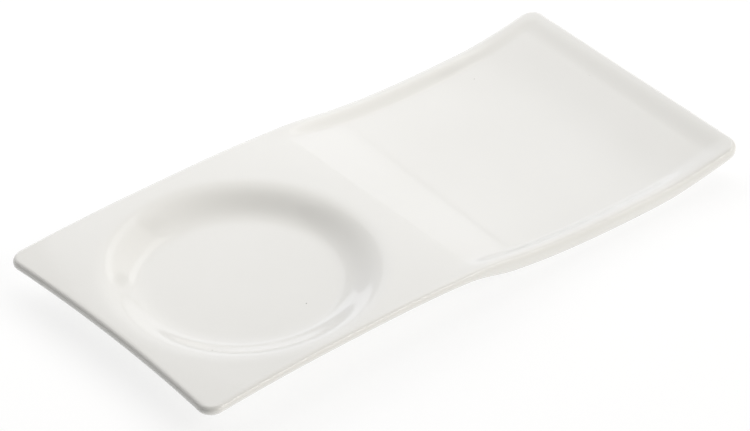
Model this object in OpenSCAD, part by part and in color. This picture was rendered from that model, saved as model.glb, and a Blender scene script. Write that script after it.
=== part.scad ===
// Chip and dip server: one wavy rectangular porcelain platter. Its dip end
// arches up round a shallow round well, and its other end sinks into a rimmed
// chip tray that sweeps up again at its far edge.
// +X runs from the dip end to the tray's end, +Y across the platter, and z = 0
// is the table under the two foot rings.
// Every surface of the casting is a height formula over the plan, and the four
// solids meet face to face: dip end | tray at the crease, foot rings below.

/* [Plan] */
// Length from end to end
length = 317.5; // [300:0.5:340]
// Width across the platter
width = 152.4; // [146:0.2:160]
// Plan radius of the four corners
corner_r = 7.5; // [5:0.5:12]
// How far the long sides draw in at mid-length, each
waist = 1; // [0:0.1:2]
// How far the dip end's edge bows inward at its middle
end_bow = 2.6; // [0:0.2:4]

/* [Edge] */
// Thickness of the casting along its edge
edge_t = 4.6; // [4:0.1:6]
// Extra height of the tray's rim above the edge line
rim_rise = 0.7; // [0:0.1:1.5]
// Distance before the crease where the rim starts to climb
rim_rise_lead = 14; // [0:1:20]
// Length over which the rim climbs to its extra height
rim_rise_run = 24; // [8:1:30]

/* [Wave along the length] */
// Height of the edge's middle at the dip end
dip_end_z = 15.85; // [14:0.05:17]
// Upward slope at the dip end
dip_end_slope = 0.077; // [0.04:0.001:0.11]
// Place of the crest, beside the well
crest_x = -82.8; // [-90:0.2:-70]
// Height of the edge's middle at the crest
crest_z = 18.7; // [18:0.05:19.5]
// Place of the steepest fall, just past the crease
fall_x = 18.6; // [14:0.2:24]
// Height there
fall_z = 13.4; // [12.8:0.05:14]
// Slope there
fall_slope = -0.173; // [-0.2:0.001:-0.14]
// Place of the tray's lowest point
trough_x = 109.3; // [100:0.1:116]
// Height of the edge's middle there
trough_z = 7.9; // [7.6:0.05:8.6]
// Height of the edge's middle at the tray's end
tray_end_z = 13.65; // [12:0.05:15.5]
// Upward slope at the tray's end
tray_end_slope = 0.168; // [0.12:0.001:0.22]

/* [Dip well] */
// Centre of the well along the length
well_x = -84; // [-86:0.5:-80]
// Centre of the well across the width
well_y = -3.6; // [-4:0.1:4]
// Radius where the well's soft lip starts
well_lip_r = 71.4; // [66:0.2:72]
// Radius of the flat floor
well_floor_r = 41.6; // [40:0.2:46]
// Height of the flat floor
well_floor_z = 13.2; // [12.8:0.1:15]
// Height of the flat underside below the floor
well_pad_z = 8.5; // [7.5:0.1:9]
// How much wider the wall is underneath than on top
well_grow = 1.5; // [0:0.5:3]

/* [Chip tray] */
// Place of the crease where the tray's floor starts
crease_x = -3; // [-6:0.5:5]
// Half the length over which the crease is rounded
crease_soft = 1.5; // [0.5:0.5:8]
// Depth of the floor below the edge line
tray_depth = 2.4; // [1.8:0.1:3]
// Length over which the floor sinks to that depth
tray_run = 42; // [35:1:80]
// Share of that depth that is left at the tray's end
end_depth = 0.1; // [0:0.05:1]
// Length over which the floor rises to that share
end_fade = 58; // [20:1:60]
// Distance from the outside to the rim's inner brow
rim_brow = 3.4; // [2.6:0.1:4]
// Plan width of the rim's inner wall along the sides
rim_wall = 8.6; // [7:0.2:11]
// Plan width of the rim's inner wall at the tray's end
end_wall = 12; // [8:0.5:16]
// Roundness of the floor's corners, in wall widths
floor_corner = 1; // [0.2:0.1:1.5]
// How far the tray's outer wall reaches below the plain edge
wall_drop = 3; // [0:0.1:3.4]
// Distance before the crease where the outer wall starts
wall_lead = 6; // [0:1:20]
// Length over which the outer wall deepens to its full reach
wall_run = 28; // [20:1:45]
// Share of that reach that is left at the tray's end
wall_end = 0.25; // [0:0.05:1]
// Length over which the outer wall fades to that share
wall_fade = 60; // [40:1:80]
// Plan width of the step from the outer wall to the flat underside
belly_wall = 3.8; // [3:0.2:6]
// Plan radius of the belly's corners at the tray's end
belly_corner_r = 24; // [15:1:30]
// Height of the flat underside of the tray
tray_pad_z = 2.4; // [2:0.1:2.6]

/* [Foot rings] */
// Width of a foot ring's bare ground face
foot_face_w = 2.6; // [2:0.1:3]
// How far each side of a foot ring leans out, per unit of height
foot_draft = 0.3; // [0.1:0.05:0.4]
// Mean radius of the round foot ring under the well
well_foot_r = 38; // [32:0.5:39]
// Mean length of the foot ring under the tray, along the platter
tray_foot_l = 46; // [34:1:48]
// Mean width of the foot ring under the tray, across the platter
tray_foot_w = 100; // [80:1:110]
// Mean corner radius of that foot ring
tray_foot_r = 12; // [8:1:16]

/* [Hidden] */
$fn = 120;

half_l = length / 2;
half_w = width / 2;
edge_h = edge_t / 2;
glaze = "#f0f0ec";
biscuit = "#dcd6c8";
// Stations that round the edge, as shares of its half thickness, and then
// those down the rim's inner wall
edge_gaps = [0, 0.07, 0.3, 0.65];
wall_steps = 5;
// Sharpness of the dip end's bow: 4 leaves the long sides almost straight
bow_power = 4;
// Heights closer than this share one point
touching = 0.001;
// Pitch of the height stations over the open surfaces
row_pitch = 4.6;
dip_pitch = 4.2;
tray_pitch = 5;
// Flat stretch of the tray's underside, and the run to each side of it
pad_x0 = 68;
pad_x1 = 122;
pad_run = 26;
tray_foot_x = (pad_x0 + pad_x1) / 2;

// 0 below 0, 1 above 1, level at both ends
function ease(t) = let (u = max(0, min(1, t))) u * u * (3 - 2 * u);
// The same with no curvature at either end either
function soft_ease(t) = let (u = max(0, min(1, t))) u^3 * (10 - 15 * u + 6 * u * u);
function mix(a, b, t) = a + (b - a) * t;

// Cubic through (x0, z0) and (x1, z1) with slopes s0 and s1
function cubic(x, x0, z0, s0, x1, z1, s1) =
    let (run = x1 - x0, t = (x - x0) / run)
    z0 * (2 * t^3 - 3 * t^2 + 1) + s0 * run * (t^3 - 2 * t^2 + t)
    + z1 * (3 * t^2 - 2 * t^3) + s1 * run * (t^3 - t^2);

// Height of the middle of the edge along the length
function wave(x) =
    x < crest_x ? cubic(x, -half_l, dip_end_z, dip_end_slope, crest_x, crest_z, 0)
    : x < fall_x ? cubic(x, crest_x, crest_z, 0, fall_x, fall_z, fall_slope)
    : x < trough_x ? cubic(x, fall_x, fall_z, fall_slope, trough_x, trough_z, 0)
    : cubic(x, trough_x, trough_z, 0, half_l, tray_end_z, tray_end_slope);

// Half the width at x, before the corners are rounded
function side(x) = half_w - waist * max(0, 1 - (x / (half_l - corner_r))^2);

// Half the width at x, with the corners rounded
function side_rounded(x) =
    let (short = max(0, corner_r - half_l + abs(x)))
    side(x) - corner_r + sqrt(max(0, corner_r^2 - short^2));

// Distance inward from the outline, around corners of radius r
function inset(x, y, r) =
    let (dx = half_l - abs(x), dy = side(x) - abs(y))
    dx < r && dy < r ? r - norm([r - dx, r - dy]) : min(dx, dy);

// Roundness of the edge: 0 at the outline, 1 from edge_h inward
function roundness(x, y) =
    let (d = inset(x, y, corner_r))
    d >= edge_h ? 1 : sqrt(max(0, 1 - (1 - max(0, d) / edge_h)^2));

// Share of the well's depth at a point, 1 on its floor
function well_share(x, y, grow) =
    soft_ease((well_lip_r + grow - norm([x - well_x, y - well_y])) / (well_lip_r - well_floor_r));

// Share of the tray's depth at a point, from 0 on the rim to 1 on its floor
function rim_share(x, y) =
    let (a = (side(x) - abs(y) - rim_brow) / rim_wall,
         b = (half_l - x - rim_brow) / end_wall,
         c = floor_corner)
    ease(a < c && b < c ? c - norm([c - a, c - b]) : min(a, b));

// Distance past the crease, starting gently
function past_crease(x) =
    let (d = x - crease_x)
    abs(d) < crease_soft ? (d + crease_soft)^2 / (4 * crease_soft) : max(0, d);

// Height of the tray's rim above the edge line, and depth of its floor below
function lift(x) = rim_rise * ease((x - crease_x + rim_rise_lead) / rim_rise_run);
function sink(x) =
    let (u = min(1, past_crease(x) / tray_run),
         left = mix(end_depth, 1, ease((half_l - rim_brow - rim_wall - x) / end_fade)))
    tray_depth * left * (1 - (1 - u)^2);

// How far the tray's outer wall reaches below the edge's round underside
function drop(x) =
    wall_drop * ease((x - crease_x + wall_lead) / wall_run)
    * mix(wall_end, 1, ease((half_l - x) / wall_fade));

// Depth of the underside below the same line
function belly(x) =
    let (flat = ease(min(x - pad_x0 + pad_run, pad_x1 + pad_run - x) / pad_run))
    mix(drop(x), wave(x) - edge_h - tray_pad_z, flat);

// Top and bottom of the casting
function top(x, y) =
    let (rim = wave(x) + (edge_h + lift(x)) * roundness(x, y))
    mix(rim - (lift(x) + sink(x)) * rim_share(x, y), well_floor_z, well_share(x, y, 0));
function bottom(x, y) =
    let (wall = ease((inset(x, y, belly_corner_r) - edge_h) / belly_wall),
         edge = wave(x) - (edge_h + drop(x)) * roundness(x, y))
    mix(edge - (belly(x) - drop(x)) * wall, well_pad_z, well_share(x, y, well_grow));

// Inward stations at one edge: round edge, then the rim's wall
function edge_stations(wall) = [
    for (g = edge_gaps) g * edge_h,
    for (i = [0:wall_steps]) rim_brow + wall * i / wall_steps
];
function evenly(a, b, pitch) =
    let (n = ceil((b - a) / pitch)) [for (i = [1:n - 1]) mix(a, b, i / n)];
function backwards(list) = [for (i = [len(list) - 1:-1:0]) list[i]];

// Stations from edge to edge across the platter
function rows() =
    let (near = edge_stations(rim_wall), open = near[len(near) - 1])
    concat(near, evenly(open, width - open, row_pitch), [for (s = backwards(near)) width - s]);

// Stations along the dip end and along the tray
function dip_columns() =
    let (out = [for (g = edge_gaps) g * edge_h - half_l], open = out[len(out) - 1])
    concat(out, evenly(open, crease_x, dip_pitch), [crease_x]);
function tray_columns() =
    let (out = [for (s = backwards(edge_stations(end_wall))) half_l - s])
    concat([crease_x], evenly(crease_x, out[0], tray_pitch), out);

// The dip end's edge draws in towards its middle
function bowed(x, y) =
    x + end_bow * max(0, 1 - (y / (half_w - corner_r))^2) * max(0, -x / half_l)^bow_power;

// Closed solid of the casting over the plan points of a grid with ny rows; its
// top and bottom share the points of the outline, where they meet
module sheet(plan, ny) {
    count = len(plan);
    tops = [for (p = plan) top(p.x, p.y)];
    bottoms = [for (p = plan) bottom(p.x, p.y)];
    nx = count / ny;
    function place(i, z) = [bowed(plan[i].x, plan[i].y), plan[i].y, z];
    function low(i) = tops[i] - bottoms[i] > touching ? i + count : i;
    function real(face) = [for (f = face) if (f[0] != f[1] && f[1] != f[2] && f[2] != f[0]) f];
    cells = [for (i = [0:nx - 2], j = [0:ny - 2]) i * ny + j];
    outline = concat(
        [for (i = [0:nx - 2]) i * ny],
        [for (j = [0:ny - 2]) (nx - 1) * ny + j],
        [for (i = [nx - 1:-1:1]) i * ny + ny - 1],
        [for (j = [ny - 1:-1:1]) j]);
    // Each cell's diagonal runs inward from the nearest corner of the platter
    upper = [for (c = cells)
        let (middle = (plan[c] + plan[c + ny + 1]) / 2)
        each (middle.x - crease_x) * middle.y > 0
            ? [[c, c + 1, c + ny + 1], [c, c + ny + 1, c + ny]]
            : [[c, c + 1, c + ny], [c + 1, c + ny + 1, c + ny]]];
    lower = [for (f = upper) [low(f[2]), low(f[1]), low(f[0])]];
    ends = [for (k = [0:len(outline) - 1])
        let (a = outline[k], b = outline[(k + 1) % len(outline)])
        each [[a, b, low(b)], [a, low(b), low(a)]]];
    polyhedron(
        points = [for (i = [0:count - 1]) place(i, tops[i]), for (i = [0:count - 1]) place(i, bottoms[i])],
        faces = real(concat(upper, lower, ends)));
}

function plan_grid(columns) =
    [for (x = columns, s = rows()) [x, (s / half_w - 1) * side_rounded(x)]];

// The arched end of the casting, with the round well sunk into it
module dip_end() {
    color(glaze) sheet(plan_grid(dip_columns()), len(rows()));
}

// The other end of the casting, a rimmed tray that starts at the crease
module chip_tray() {
    color(glaze) sheet(plan_grid(tray_columns()), len(rows()));
}

// Section of a foot ring, from its bare face up to the body's underside
module foot_section(tall) {
    face = foot_face_w / 2;
    root = face + foot_draft * tall;
    polygon([[-face, 0], [face, 0], [root, tall], [-root, tall]]);
}

// Bare round foot ring under the well
module well_foot_ring() {
    color(biscuit)
        translate([well_x, well_y, 0])
            rotate_extrude() translate([well_foot_r, 0]) foot_section(well_pad_z);
}

// Bare rounded-rectangle foot ring under the tray
module tray_foot_ring() {
    run_x = tray_foot_l - 2 * tray_foot_r;
    run_y = tray_foot_w - 2 * tray_foot_r;
    color(biscuit)
        translate([tray_foot_x, 0, 0])
            for (turn = [0:3]) {
                along = turn % 2 == 0 ? run_x : run_y;
                out = turn % 2 == 0 ? run_y : run_x;
                rotate([0, 0, 90 * turn]) {
                    translate([along / 2, out / 2, 0])
                        rotate_extrude(angle = 90) translate([tray_foot_r, 0]) foot_section(tray_pad_z);
                    translate([-along / 2, out / 2 + tray_foot_r, 0])
                        rotate([90, 0, 90])
                            linear_extrude(along) foot_section(tray_pad_z);
                }
            }
}

dip_end();
chip_tray();
well_foot_ring();
tray_foot_ring();
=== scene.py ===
"""Chip and dip server: a wavy white porcelain platter on a pale studio floor.

The casting is rebuilt here as one fine mesh from the same height formulas as the CAD design, with
its two foot rings as separate pieces: glazed sides and bare ground faces. Lengths are in metres,
in the CAD model's own frame.
"""

import math

import bpy
import numpy as np
from mathutils import Matrix, Vector


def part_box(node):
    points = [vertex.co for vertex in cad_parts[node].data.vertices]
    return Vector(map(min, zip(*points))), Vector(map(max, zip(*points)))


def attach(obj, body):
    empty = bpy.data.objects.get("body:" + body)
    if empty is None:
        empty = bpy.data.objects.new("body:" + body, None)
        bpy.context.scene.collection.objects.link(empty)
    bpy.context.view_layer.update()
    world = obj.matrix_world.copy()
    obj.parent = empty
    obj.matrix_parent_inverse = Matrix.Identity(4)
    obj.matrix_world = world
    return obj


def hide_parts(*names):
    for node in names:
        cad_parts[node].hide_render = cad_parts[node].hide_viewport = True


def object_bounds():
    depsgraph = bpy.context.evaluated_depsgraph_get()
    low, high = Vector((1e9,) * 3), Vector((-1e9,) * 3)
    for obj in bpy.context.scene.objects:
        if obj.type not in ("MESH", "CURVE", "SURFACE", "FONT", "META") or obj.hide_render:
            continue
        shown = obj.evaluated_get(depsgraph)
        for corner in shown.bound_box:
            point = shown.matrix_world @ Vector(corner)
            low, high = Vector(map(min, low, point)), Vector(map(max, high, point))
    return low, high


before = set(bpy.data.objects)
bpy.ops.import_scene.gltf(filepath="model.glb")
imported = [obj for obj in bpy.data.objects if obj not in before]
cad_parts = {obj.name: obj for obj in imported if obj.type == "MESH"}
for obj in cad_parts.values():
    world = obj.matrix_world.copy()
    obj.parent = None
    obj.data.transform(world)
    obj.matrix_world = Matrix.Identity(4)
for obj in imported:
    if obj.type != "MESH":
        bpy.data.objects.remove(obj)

MM = 0.001
cad_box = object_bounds()
cad_low, cad_high = Vector(cad_box[0]), Vector(cad_box[1])
well_foot_low, well_foot_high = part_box("well_foot_ring")
tray_foot_low, tray_foot_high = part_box("tray_foot_ring")
dip_end_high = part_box("dip_end")[1]

# Plan of the casting
HALF_L = (cad_high.x - cad_low.x) / 2
HALF_W = (cad_high.y - cad_low.y) / 2
CORNER_R = 7.5 * MM
WAIST = 1.0 * MM
END_BOW = 2.6 * MM
CREASE_X = dip_end_high.x

# Edge, rim and outer wall. EDGE_H is half the edge's thickness.
EDGE_H = 2.3 * MM
RIM_RISE = 0.7 * MM
RIM_RISE_LEAD = 14 * MM
RIM_RISE_RUN = 24 * MM
RIM_BROW = 3.4 * MM
RIM_WALL = 8.6 * MM
END_WALL = 12 * MM
FLOOR_CORNER = 1.0
WALL_DROP = 3 * MM
WALL_LEAD = 6 * MM
WALL_RUN = 28 * MM
WALL_END = 0.25
WALL_FADE = 60 * MM
BELLY_WALL = 3.8 * MM
BELLY_CORNER_R = 24 * MM

# Stations of the wave along the length: place, height of the edge's middle, slope
WAVE = [
    (-HALF_L, 15.85 * MM, 0.077),
    (-82.8 * MM, 18.7 * MM, 0.0),
    (18.6 * MM, 13.4 * MM, -0.173),
    (109.3 * MM, 7.9 * MM, 0.0),
    (HALF_L, 13.65 * MM, 0.168),
]

# Dip well
WELL_X = (well_foot_low.x + well_foot_high.x) / 2
WELL_Y = (well_foot_low.y + well_foot_high.y) / 2
WELL_LIP_R = 71.4 * MM
WELL_FLOOR_R = 41.6 * MM
WELL_FLOOR_Z = 13.2 * MM
WELL_PAD_Z = well_foot_high.z
WELL_GROW = 1.5 * MM

# Chip tray
CREASE_SOFT = 1.5 * MM
TRAY_DEPTH = 2.4 * MM
TRAY_RUN = 42 * MM
END_DEPTH = 0.1
END_FADE = 58 * MM
TRAY_PAD_Z = tray_foot_high.z
PAD_X0 = 68 * MM
PAD_X1 = 122 * MM
PAD_RUN = 26 * MM

# Foot rings
FOOT_FACE_HALF = 1.3 * MM
FOOT_DRAFT = 0.3
FOOT_FILLET = 0.9 * MM
FOOT_ROUND = 0.4 * MM
FOOT_OVERLAP = 0.3 * MM
FOOT_FILLET_STEPS = 6
FOOT_ROUND_STEPS = 5
WELL_FOOT_STEPS = 180
TRAY_FOOT_R = 12 * MM

# Mesh pitch over the open surfaces, across the crease and in the band that follows the outline,
# the band's width, and the columns of points round the edge's quarter circle
PITCH = 1.7 * MM
CREASE_PITCH = 0.5 * MM
BAND_PITCH = 1.15 * MM
BAND = 26 * MM
EDGE_STEPS = 9
# Corner radius of the inner rings, and the largest share of the room left that a ring's may take
RING_CORNER_R = 8 * MM
RING_CORNER_SHARE = 0.98
TINY = 1e-9


# Shape of the casting -----------------------------------------------------------------------

def ease(t):
    """0 below 0, 1 above 1, level at both ends."""
    u = np.clip(t, 0, 1)
    return u * u * (3 - 2 * u)


def soft_ease(t):
    """The same with no curvature at either end either."""
    u = np.clip(t, 0, 1)
    return u**3 * (10 - 15 * u + 6 * u * u)


def mix(a, b, t):
    return a + (b - a) * t


def wave(x):
    """Height of the middle of the edge along the length."""
    height = np.zeros_like(x)
    for (x0, z0, s0), (x1, z1, s1) in zip(WAVE, WAVE[1:]):
        run = x1 - x0
        t = (x - x0) / run
        cubic = (z0 * (2 * t**3 - 3 * t**2 + 1) + s0 * run * (t**3 - 2 * t**2 + t)
                 + z1 * (3 * t**2 - 2 * t**3) + s1 * run * (t**3 - t**2))
        height = np.where(x >= x0, cubic, height)
    return height


def side(x):
    """Half the width at x, before the corners are rounded."""
    return HALF_W - WAIST * np.maximum(0, 1 - (x / (HALF_L - CORNER_R)) ** 2)


def roundness(inset):
    """Roundness of the edge: 0 at the outline, 1 from EDGE_H inward."""
    return np.sqrt(np.clip(1 - (1 - np.clip(inset / EDGE_H, 0, 1)) ** 2, 0, 1))


def well_share(x, y, grow):
    """Share of the well's depth at a point, 1 on its floor."""
    away = np.hypot(x - WELL_X, y - WELL_Y)
    return soft_ease((WELL_LIP_R + grow - away) / (WELL_LIP_R - WELL_FLOOR_R))


def rim_share(x, y):
    """Share of the tray's depth at a point, from 0 on the rim to 1 on its floor."""
    a = (side(x) - np.abs(y) - RIM_BROW) / RIM_WALL
    b = (HALF_L - x - RIM_BROW) / END_WALL
    c = FLOOR_CORNER
    return ease(np.where((a < c) & (b < c), c - np.hypot(c - a, c - b), np.minimum(a, b)))


def past_crease(x):
    """Distance past the crease, starting gently."""
    d = x - CREASE_X
    return np.where(np.abs(d) < CREASE_SOFT, (d + CREASE_SOFT) ** 2 / (4 * CREASE_SOFT), np.maximum(0, d))


def lift(x):
    """Height of the tray's rim above the edge line."""
    return RIM_RISE * ease((x - CREASE_X + RIM_RISE_LEAD) / RIM_RISE_RUN)


def sink(x):
    """Depth of the tray's floor below the edge line."""
    u = np.minimum(1, past_crease(x) / TRAY_RUN)
    left = mix(END_DEPTH, 1, ease((HALF_L - RIM_BROW - RIM_WALL - x) / END_FADE))
    return TRAY_DEPTH * left * (1 - (1 - u) ** 2)


def drop(x):
    """How far the tray's outer wall reaches below the edge's round underside."""
    start = ease((x - CREASE_X + WALL_LEAD) / WALL_RUN)
    return WALL_DROP * start * mix(WALL_END, 1, ease((HALF_L - x) / WALL_FADE))


def belly(x):
    """Depth of the casting's underside below the edge's round underside."""
    flat = ease(np.minimum(x - PAD_X0 + PAD_RUN, PAD_X1 + PAD_RUN - x) / PAD_RUN)
    return mix(drop(x), wave(x) - EDGE_H - TRAY_PAD_Z, flat)


def inset_round(x, y, r):
    """Distance inward from the outline, around corners of radius r."""
    dx = HALF_L - np.abs(x)
    dy = side(x) - np.abs(y)
    corner = r - np.hypot(r - dx, r - dy)
    return np.where((dx < r) & (dy < r), corner, np.minimum(dx, dy))


def top_height(x, y, ring):
    """Height of the upper surface; ring is the inset from the outline."""
    rim = wave(x) + (EDGE_H + lift(x)) * roundness(ring)
    return mix(rim - (lift(x) + sink(x)) * rim_share(x, y), WELL_FLOOR_Z, well_share(x, y, 0))


def bottom_height(x, y, ring):
    """Height of the underside; ring is the inset from the outline."""
    wall = ease((inset_round(x, y, BELLY_CORNER_R) - EDGE_H) / BELLY_WALL)
    edge = wave(x) - (EDGE_H + drop(x)) * roundness(ring)
    return mix(edge - (belly(x) - drop(x)) * wall, WELL_PAD_Z, well_share(x, y, WELL_GROW))


def ring_radius(k):
    """Corner radius of the mesh ring at inset k: true offsets at the edge, rounder inside."""
    blended = mix(CORNER_R - k, RING_CORNER_R, ease((k - RIM_BROW) / RIM_WALL))
    return np.clip(np.minimum(blended, (BAND - k) * RING_CORNER_SHARE), 0, None)


def round_corner(dx, dy):
    """Insets (dx, dy) of a square-cornered grid moved onto rings round the corner, and the rings."""
    k = np.minimum(dx, dy)
    near = (dx < BAND) & (dy < BAND)
    room = np.maximum(BAND - k, TINY)
    walked = np.where(dy <= dx, BAND - dx, room + dy - k) / (2 * room)
    r = ring_radius(k)
    straight = room - r
    along = walked * (2 * straight + r * math.pi / 2)
    turn = np.clip((along - straight) / np.maximum(r, TINY), 0, math.pi / 2)
    past = np.maximum(along - straight - r * math.pi / 2, 0)
    new_dx = BAND - np.minimum(along, straight) - r * np.sin(turn)
    new_dy = k + r * (1 - np.cos(turn)) + past
    return np.where(near, new_dx, dx), np.where(near, new_dy, dy), k


def band_insets():
    """Insets of the rings in the outline band: close together where the edge is round."""
    edge = [EDGE_H * (1 - math.cos(math.pi / 2 * i / EDGE_STEPS)) for i in range(EDGE_STEPS + 1)]
    steps = round((BAND - EDGE_H) / BAND_PITCH)
    return edge + [EDGE_H + (BAND - EDGE_H) * i / steps for i in range(1, steps + 1)]


def spread(a, b, pitch):
    """Even places between a and b, no further apart than the pitch, without a and b."""
    n = math.ceil((b - a) / pitch)
    return [a + (b - a) * i / n for i in range(1, n)]


def casting_grid():
    """Plan points and ring insets of the casting's grid, columns along X by rows along Y."""
    band = band_insets()
    dip_side = CREASE_X - 2 * CREASE_SOFT
    tray_side = CREASE_X + 2 * CREASE_SOFT
    columns = ([-HALF_L + k for k in band] + spread(-HALF_L + BAND, dip_side, PITCH)
               + [dip_side] + spread(dip_side, tray_side, CREASE_PITCH) + [tray_side]
               + spread(tray_side, HALF_L - BAND, PITCH) + [HALF_L - k for k in reversed(band)])
    middle = spread(-1.0, 1.0, PITCH / (HALF_W - BAND))
    x = np.array(columns)[:, None]
    open_half = side(x) - BAND
    near = [-(side(x) - k) for k in band]
    far = [side(x) - k for k in reversed(band)]
    y = np.concatenate(near + [t * open_half for t in middle] + far, axis=1)
    x = np.broadcast_to(x, y.shape)
    dx, dy, ring = round_corner(HALF_L - np.abs(x), side(x) - np.abs(y))
    new_x = np.sign(x) * (HALF_L - dx)
    new_y = np.sign(y) * (side(new_x) - dy)
    return new_x, new_y, ring


def bowed(x, y):
    """The dip end's edge draws in towards its middle."""
    across = np.maximum(0, 1 - (y / (HALF_W - CORNER_R)) ** 2)
    return x + END_BOW * across * np.maximum(0, -x / HALF_L) ** 4


def mesh_object(name, points, faces, material):
    mesh = bpy.data.meshes.new(name)
    mesh.from_pydata([tuple(p) for p in points], [], [tuple(f) for f in faces])
    mesh.validate()
    mesh.materials.append(material)
    for polygon in mesh.polygons:
        polygon.use_smooth = True
    piece = bpy.data.objects.new(name, mesh)
    bpy.context.scene.collection.objects.link(piece)
    return piece


def make_casting(material):
    """One closed skin: top and bottom grids that share the points of the outline."""
    x, y, ring = casting_grid()
    nx, ny = x.shape
    place_x = bowed(x, y)
    top = np.stack([place_x, y, top_height(x, y, ring)], -1).reshape(-1, 3)
    bottom = np.stack([place_x, y, bottom_height(x, y, ring)], -1).reshape(-1, 3)
    inner = np.ones((nx, ny), bool)
    inner[0] = inner[-1] = False
    inner[:, 0] = inner[:, -1] = False
    upper = np.arange(nx * ny).reshape(nx, ny)
    lower = upper.copy()
    lower[inner] = nx * ny + np.arange(inner.sum())
    points = np.concatenate([top, bottom[inner.reshape(-1)]])
    faces = []
    for grid, step in ((upper, 1), (lower, -1)):
        corners = np.stack([grid[:-1, :-1], grid[1:, :-1], grid[1:, 1:], grid[:-1, 1:]], -1)
        faces.append(corners.reshape(-1, 4)[:, ::step])
    return mesh_object("platter_casting", points, np.concatenate(faces), material)


# Foot rings ---------------------------------------------------------------------------------

def foot_root(tall):
    """Half the width of a foot ring where it meets the body."""
    return FOOT_FACE_HALF + FOOT_DRAFT * tall


def foot_section(tall):
    """Section of a foot ring, from its fillet under the body down to its ground face and back."""
    root = foot_root(tall)
    points = [(root + FOOT_FILLET, tall + FOOT_OVERLAP)]
    for i in range(FOOT_FILLET_STEPS + 1):
        a = math.pi / 2 * i / FOOT_FILLET_STEPS
        points.append((root + FOOT_FILLET * (1 - math.sin(a)), tall - FOOT_FILLET * (1 - math.cos(a))))
    for i in range(FOOT_ROUND_STEPS + 1):
        a = math.pi / 2 * i / FOOT_ROUND_STEPS
        points.append((FOOT_FACE_HALF - FOOT_ROUND * (1 - math.cos(a)), FOOT_ROUND * (1 - math.sin(a))))
    return points + [(-w, z) for w, z in reversed(points)]


def sweep(name, path, section, material):
    """Closed ring: the section carried round a closed path of (x, y, outward x, outward y)."""
    points = [(px + w * nx, py + w * ny, z) for px, py, nx, ny in path for w, z in section]
    n, m = len(path), len(section)
    faces = []
    for i in range(n):
        for j in range(m):
            a, b = i * m + j, i * m + (j + 1) % m
            c, d = (i + 1) % n * m + (j + 1) % m, (i + 1) % n * m + j
            faces.append((a, d, c, b))
    return mesh_object(name, points, faces, material)


def rounded_path(cx, cy, half_x, half_y, r, step_deg=4):
    """Rounded rectangle as points with outward normals, counter-clockwise."""
    path = []
    for quarter, (sx, sy) in enumerate(((1, 1), (-1, 1), (-1, -1), (1, -1))):
        mx, my = cx + sx * (half_x - r), cy + sy * (half_y - r)
        for i in range(90 // step_deg + 1):
            a = math.radians(90 * quarter + step_deg * i)
            path.append((mx + r * math.cos(a), my + r * math.sin(a), math.cos(a), math.sin(a)))
    return path


def make_well_foot(material):
    radius = (well_foot_high.x - well_foot_low.x) / 2 - foot_root(WELL_PAD_Z)
    path = []
    for i in range(WELL_FOOT_STEPS):
        a = math.radians(360 / WELL_FOOT_STEPS * i)
        path.append((WELL_X + radius * math.cos(a), WELL_Y + radius * math.sin(a), math.cos(a), math.sin(a)))
    return sweep("well_foot", path, foot_section(WELL_PAD_Z), material)


def make_tray_foot(material):
    middle = (tray_foot_low + tray_foot_high) / 2
    half = (tray_foot_high - tray_foot_low) / 2
    root = foot_root(TRAY_PAD_Z)
    path = rounded_path(middle.x, middle.y, half.x - root, half.y - root, TRAY_FOOT_R)
    return sweep("tray_foot", path, foot_section(TRAY_PAD_Z), material)


# Materials ----------------------------------------------------------------------------------

GLAZE_ROUGH = 0.08
GLAZE_IOR = 1.5
GLAZE_WARMER = (0.785, 0.779, 0.752)
GLAZE_WHITER = (0.805, 0.8, 0.775)
RIPPLE_STRENGTH = 0.12
RIPPLE_HEIGHT = 0.06 * MM

# Pinholes where the middle of a cell meets the surface: dark out to the first of two distances
# in cells, and clean past the second
PINHOLE_COLOUR = (0.34, 0.33, 0.3)
CLEAN = (1, 1, 1)
PINHOLE_REACH = (0.012, 0.024)

# Bare ground porcelain of the feet
BISCUIT_ROUGH = 0.75
BISCUIT_DARK = (0.62, 0.58, 0.5)
BISCUIT_LIGHT = (0.76, 0.73, 0.66)
GRAIN_STRENGTH = 0.5
GRAIN_HEIGHT = 0.1 * MM

# Texture scales, in cells to the metre
TONE_SCALE = 14
PINHOLE_SCALE = 60
BISCUIT_SCALE = 90
RIPPLE_SCALE = 160
WAVER_SCALE = 300
GRAIN_SCALE = 2600

# Height of the glaze line on the foot rings, and how far it wavers, also the width of its blend
GLAZE_LINE_Z = 0.5 * MM
GLAZE_LINE_WAVER = 0.5 * MM


def new_material(name):
    material = bpy.data.materials.new(name)
    material.use_nodes = True
    nodes = material.node_tree.nodes
    return material, nodes, material.node_tree.links, nodes["Principled BSDF"]


def noise(nodes, links, place, scale, detail, rough=0.5):
    """Noise node in object coordinates."""
    node = nodes.new("ShaderNodeTexNoise")
    node.inputs["Scale"].default_value = scale
    node.inputs["Detail"].default_value = detail
    node.inputs["Roughness"].default_value = rough
    links.new(place.outputs["Object"], node.inputs["Vector"])
    return node


def ramp(nodes, links, source, stops):
    """Colour Ramp node; the stops are pairs of place and colour."""
    node = nodes.new("ShaderNodeValToRGB")
    elements = node.color_ramp.elements
    while len(elements) < len(stops):
        elements.new(0.5)
    for element, (place, colour) in zip(elements, stops):
        element.position = place
        element.color = (*colour, 1)
    links.new(source, node.inputs["Fac"])
    return node


def maths(nodes, links, operation, first, second):
    """Output of a Math node; the second input is another output or a plain number."""
    node = nodes.new("ShaderNodeMath")
    node.operation = operation
    links.new(first, node.inputs[0])
    if isinstance(second, (int, float)):
        node.inputs[1].default_value = second
    else:
        links.new(second, node.inputs[1])
    return node.outputs["Value"]


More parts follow.
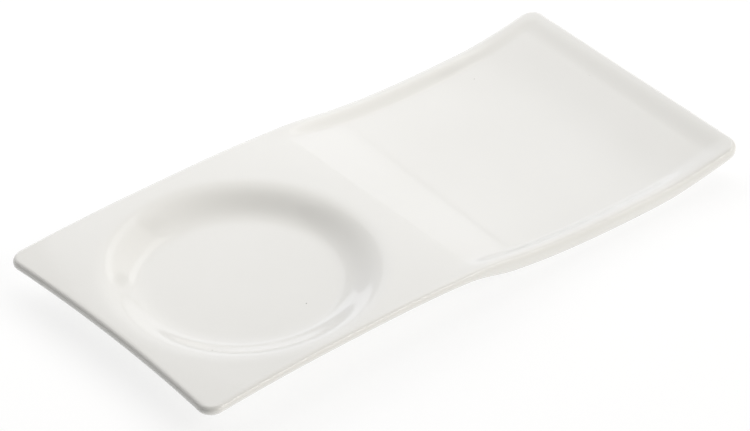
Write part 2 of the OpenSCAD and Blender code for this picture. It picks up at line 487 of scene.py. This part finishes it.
def glaze_tone(nodes, links, place):
    """Colour of the glaze: white with faint tone changes."""
    patches = noise(nodes, links, place, TONE_SCALE, 3).outputs["Fac"]
    return ramp(nodes, links, patches, [(0.3, GLAZE_WARMER), (0.7, GLAZE_WHITER)]).outputs["Color"]


def bump(nodes, links, shader, height, strength, distance):
    """Bump node on the shader's normal."""
    node = nodes.new("ShaderNodeBump")
    node.inputs["Strength"].default_value = strength
    node.inputs["Distance"].default_value = distance
    links.new(height, node.inputs["Height"])
    links.new(node.outputs["Normal"], shader.inputs["Normal"])


def mix_colours(nodes, links, blend, share, first, second):
    """Output of a colour Mix node; the share is an output or a plain number."""
    node = nodes.new("ShaderNodeMix")
    node.data_type = "RGBA"
    node.blend_type = blend
    if isinstance(share, (int, float)):
        node.inputs["Factor"].default_value = share
    else:
        links.new(share, node.inputs["Factor"])
    links.new(first, node.inputs["A"])
    links.new(second, node.inputs["B"])
    return node.outputs["Result"]


def glaze_material():
    """Glossy white glaze with a slight ripple and a few tiny dark pinholes."""
    material, nodes, links, shader = new_material("white_glaze")
    place = nodes.new("ShaderNodeTexCoord")
    cells = nodes.new("ShaderNodeTexVoronoi")
    cells.inputs["Scale"].default_value = PINHOLE_SCALE
    links.new(place.outputs["Object"], cells.inputs["Vector"])
    hole, rim = PINHOLE_REACH
    pinholes = ramp(nodes, links, cells.outputs["Distance"],
                    [(hole, PINHOLE_COLOUR), (rim, CLEAN)]).outputs["Color"]
    tone = glaze_tone(nodes, links, place)
    colour = mix_colours(nodes, links, "MULTIPLY", 1, tone, pinholes)
    links.new(colour, shader.inputs["Base Color"])
    ripple = noise(nodes, links, place, RIPPLE_SCALE, 2).outputs["Fac"]
    bump(nodes, links, shader, ripple, RIPPLE_STRENGTH, RIPPLE_HEIGHT)
    shader.inputs["Roughness"].default_value = GLAZE_ROUGH
    shader.inputs["IOR"].default_value = GLAZE_IOR
    return material


def fade_in(nodes, links, source, start, end, low, high):
    """Map Range node: low where the source is at start, high where it is at end, clamped."""
    node = nodes.new("ShaderNodeMapRange")
    links.new(source, node.inputs["Value"])
    node.inputs["From Min"].default_value = start
    node.inputs["From Max"].default_value = end
    node.inputs["To Min"].default_value = low
    node.inputs["To Max"].default_value = high
    return node.outputs["Result"]


def foot_material():
    """Glazed sides, and below an uneven glaze line the bare ground face: matt and grainy."""
    material, nodes, links, shader = new_material("foot_glaze_and_biscuit")
    place = nodes.new("ShaderNodeTexCoord")
    split = nodes.new("ShaderNodeSeparateXYZ")
    links.new(place.outputs["Object"], split.inputs["Vector"])
    uneven = noise(nodes, links, place, WAVER_SCALE, 3).outputs["Fac"]
    waver = maths(nodes, links, "MULTIPLY", uneven, GLAZE_LINE_WAVER)
    level = maths(nodes, links, "ADD", split.outputs["Z"], waver)
    glazed, bare = GLAZE_LINE_Z + GLAZE_LINE_WAVER, GLAZE_LINE_Z
    share = fade_in(nodes, links, level, glazed, bare, 0, 1)
    mottle = noise(nodes, links, place, BISCUIT_SCALE, 5, 0.65).outputs["Fac"]
    biscuit = ramp(nodes, links, mottle, [(0.35, BISCUIT_DARK), (0.65, BISCUIT_LIGHT)]).outputs["Color"]
    colour = mix_colours(nodes, links, "MIX", share, glaze_tone(nodes, links, place), biscuit)
    links.new(colour, shader.inputs["Base Color"])
    rough = fade_in(nodes, links, level, glazed, bare, GLAZE_ROUGH, BISCUIT_ROUGH)
    links.new(rough, shader.inputs["Roughness"])
    shader.inputs["IOR"].default_value = GLAZE_IOR
    grit = noise(nodes, links, place, GRAIN_SCALE, 2).outputs["Fac"]
    grain = maths(nodes, links, "MULTIPLY", grit, share)
    bump(nodes, links, shader, grain, GRAIN_STRENGTH, GRAIN_HEIGHT)
    return material


# Studio -------------------------------------------------------------------------------------

# Camera: the azimuth in degrees is the turn of the view from +Y towards +X
CAMERA_PLACE = (-1.16486, -1.47412, 1.39195)
CAMERA_AZIMUTH = 38.246
CAMERA_ELEVATION = 36.381
CAMERA_ROLL = -1.414
LENS_MM = 240.34
SENSOR_MM = 36
CLIP_END = 20

# Floor: its own glow keeps it near white and the platter's shadow faint
FLOOR_HALF = 4
FLOOR_GREY = 0.3
FLOOR_GLOW = 0.72
FLOOR_ROUGH = 0.9


def make_camera():
    """Long lens in front of the dip end and to its left."""
    camera = bpy.data.objects.new("camera", bpy.data.cameras.new("camera"))
    a, e = math.radians(CAMERA_AZIMUTH), math.radians(CAMERA_ELEVATION)
    back = Vector((-math.sin(a) * math.cos(e), -math.cos(a) * math.cos(e), math.sin(e)))
    right = Vector((math.cos(a), -math.sin(a), 0))
    up = back.cross(right)
    turn = Matrix((right, up, back)).transposed().to_4x4()
    roll = Matrix.Rotation(math.radians(CAMERA_ROLL), 4, "Z")
    camera.matrix_world = Matrix.Translation(CAMERA_PLACE) @ turn @ roll
    camera.data.lens = LENS_MM
    camera.data.sensor_width = SENSOR_MM
    camera.data.clip_end = CLIP_END
    bpy.context.scene.collection.objects.link(camera)
    bpy.context.scene.camera = camera


def make_floor():
    material, nodes, links, shader = new_material("pale_floor")
    shader.inputs["Base Color"].default_value = (FLOOR_GREY, FLOOR_GREY, FLOOR_GREY, 1)
    shader.inputs["Roughness"].default_value = FLOOR_ROUGH
    shader.inputs["Specular IOR Level"].default_value = 0
    shader.inputs["Emission Color"].default_value = (1, 1, 1, 1)
    shader.inputs["Emission Strength"].default_value = FLOOR_GLOW
    corners = [(FLOOR_HALF * sx, FLOOR_HALF * sy, 0) for sx, sy in ((-1, -1), (1, -1), (1, 1), (-1, 1))]
    floor = mesh_object("floor", corners, [(0, 1, 2, 3)], material)


# Colours of the light
WARM = (1.04, 1, 0.91)
PLAIN = (1.01, 1, 0.985)
COOL = (0.98, 1, 1.06)

# Broad soft glows of the studio's walls and ceiling: azimuth in degrees from +X towards +Y,
# elevation, strength, colour
GLOWS = [
    (96, 34, 1.0, PLAIN),
    (21, 60, 0.86, PLAIN),
    (321, 60, 0.88, PLAIN),
    (288, 8, 2.35, WARM),
    (321, 34, 0.5, PLAIN),
    (51, 34, 0.41, COOL),
    (81, 60, 0.43, PLAIN),
    (72, 8, 0.73, COOL),
]
GLOW_POWER = 10

# Softboxes that face the frame's origin: azimuth from +X towards +Y, elevation, distance, angles
# wide and high as seen from the origin, radiance, colour
SOFTBOXES = [
    (44, 15, 0.93, 62, 15, 0.8, COOL),
    (50, 35, 1.3, 30, 23, 0.7, COOL),
    (50, 56, 1.3, 30, 20, 0.5, PLAIN),
    (50, 76, 1.3, 40, 24, 0.56, PLAIN),
    (20, 45, 1.3, 30, 24, 0.97, PLAIN),
    (308, 35, 1.5, 34, 10, 5.5, PLAIN),
]
# Nearest softbox, behind the platter: it brightens the far side but is kept out of reflections
BACK_FILL = (96, 34, 0.6, 40, 30, 1.9, PLAIN)


def direction(azimuth, elevation):
    """Unit vector from angles in degrees."""
    a, e = math.radians(azimuth), math.radians(elevation)
    return Vector((math.cos(a) * math.cos(e), math.sin(a) * math.cos(e), math.sin(e)))


def make_sky():
    """World lit by broad glows, each the power of the cosine of the angle from its middle."""
    world = bpy.data.worlds.new("studio_sky")
    world.use_nodes = True
    bpy.context.scene.world = world
    nodes, links = world.node_tree.nodes, world.node_tree.links
    place = nodes.new("ShaderNodeTexCoord").outputs["Generated"]
    total = None
    for azimuth, elevation, strength, colour in GLOWS:
        cosine = nodes.new("ShaderNodeVectorMath")
        cosine.operation = "DOT_PRODUCT"
        links.new(place, cosine.inputs[0])
        cosine.inputs[1].default_value = direction(azimuth, elevation)
        facing = maths(nodes, links, "MAXIMUM", cosine.outputs["Value"], 0)
        glow = nodes.new("ShaderNodeVectorMath")
        glow.operation = "SCALE"
        glow.inputs[0].default_value = [strength * c for c in colour]
        links.new(maths(nodes, links, "POWER", facing, GLOW_POWER), glow.inputs["Scale"])
        if total is None:
            total = glow.outputs["Vector"]
            continue
        added = nodes.new("ShaderNodeVectorMath")
        links.new(total, added.inputs[0])
        links.new(glow.outputs["Vector"], added.inputs[1])
        total = added.outputs["Vector"]
    links.new(total, nodes["Background"].inputs["Color"])


def make_softbox(name, azimuth, elevation, distance, wide, high, radiance, colour):
    """Rectangular light that faces the frame's origin and isn't seen by the camera itself."""
    light = bpy.data.lights.new(name, "AREA")
    light.shape = "RECTANGLE"
    light.size = 2 * distance * math.tan(math.radians(wide / 2))
    light.size_y = 2 * distance * math.tan(math.radians(high / 2))
    light.energy = math.pi * light.size * light.size_y * radiance
    light.color = colour
    softbox = bpy.data.objects.new(name, light)
    away = direction(azimuth, elevation)
    softbox.location = distance * away
    softbox.rotation_euler = (-away).to_track_quat("-Z", "Y").to_euler()
    softbox.visible_camera = False
    bpy.context.scene.collection.objects.link(softbox)
    return softbox


def make_softboxes():
    for number, settings in enumerate(SOFTBOXES):
        make_softbox(f"softbox_{number}", *settings)
    make_softbox("back_fill", *BACK_FILL).visible_glossy = False


make_camera()
make_floor()
make_sky()
make_softboxes()
glaze = glaze_material()
foot = foot_material()

casting = make_casting(glaze)
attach(casting, "root")
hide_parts("dip_end", "chip_tray")

well_foot = make_well_foot(foot)
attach(well_foot, "root")
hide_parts("well_foot_ring")

tray_foot = make_tray_foot(foot)
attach(tray_foot, "root")
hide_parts("tray_foot_ring")

bpy.context.scene.view_settings.view_transform = "Standard"
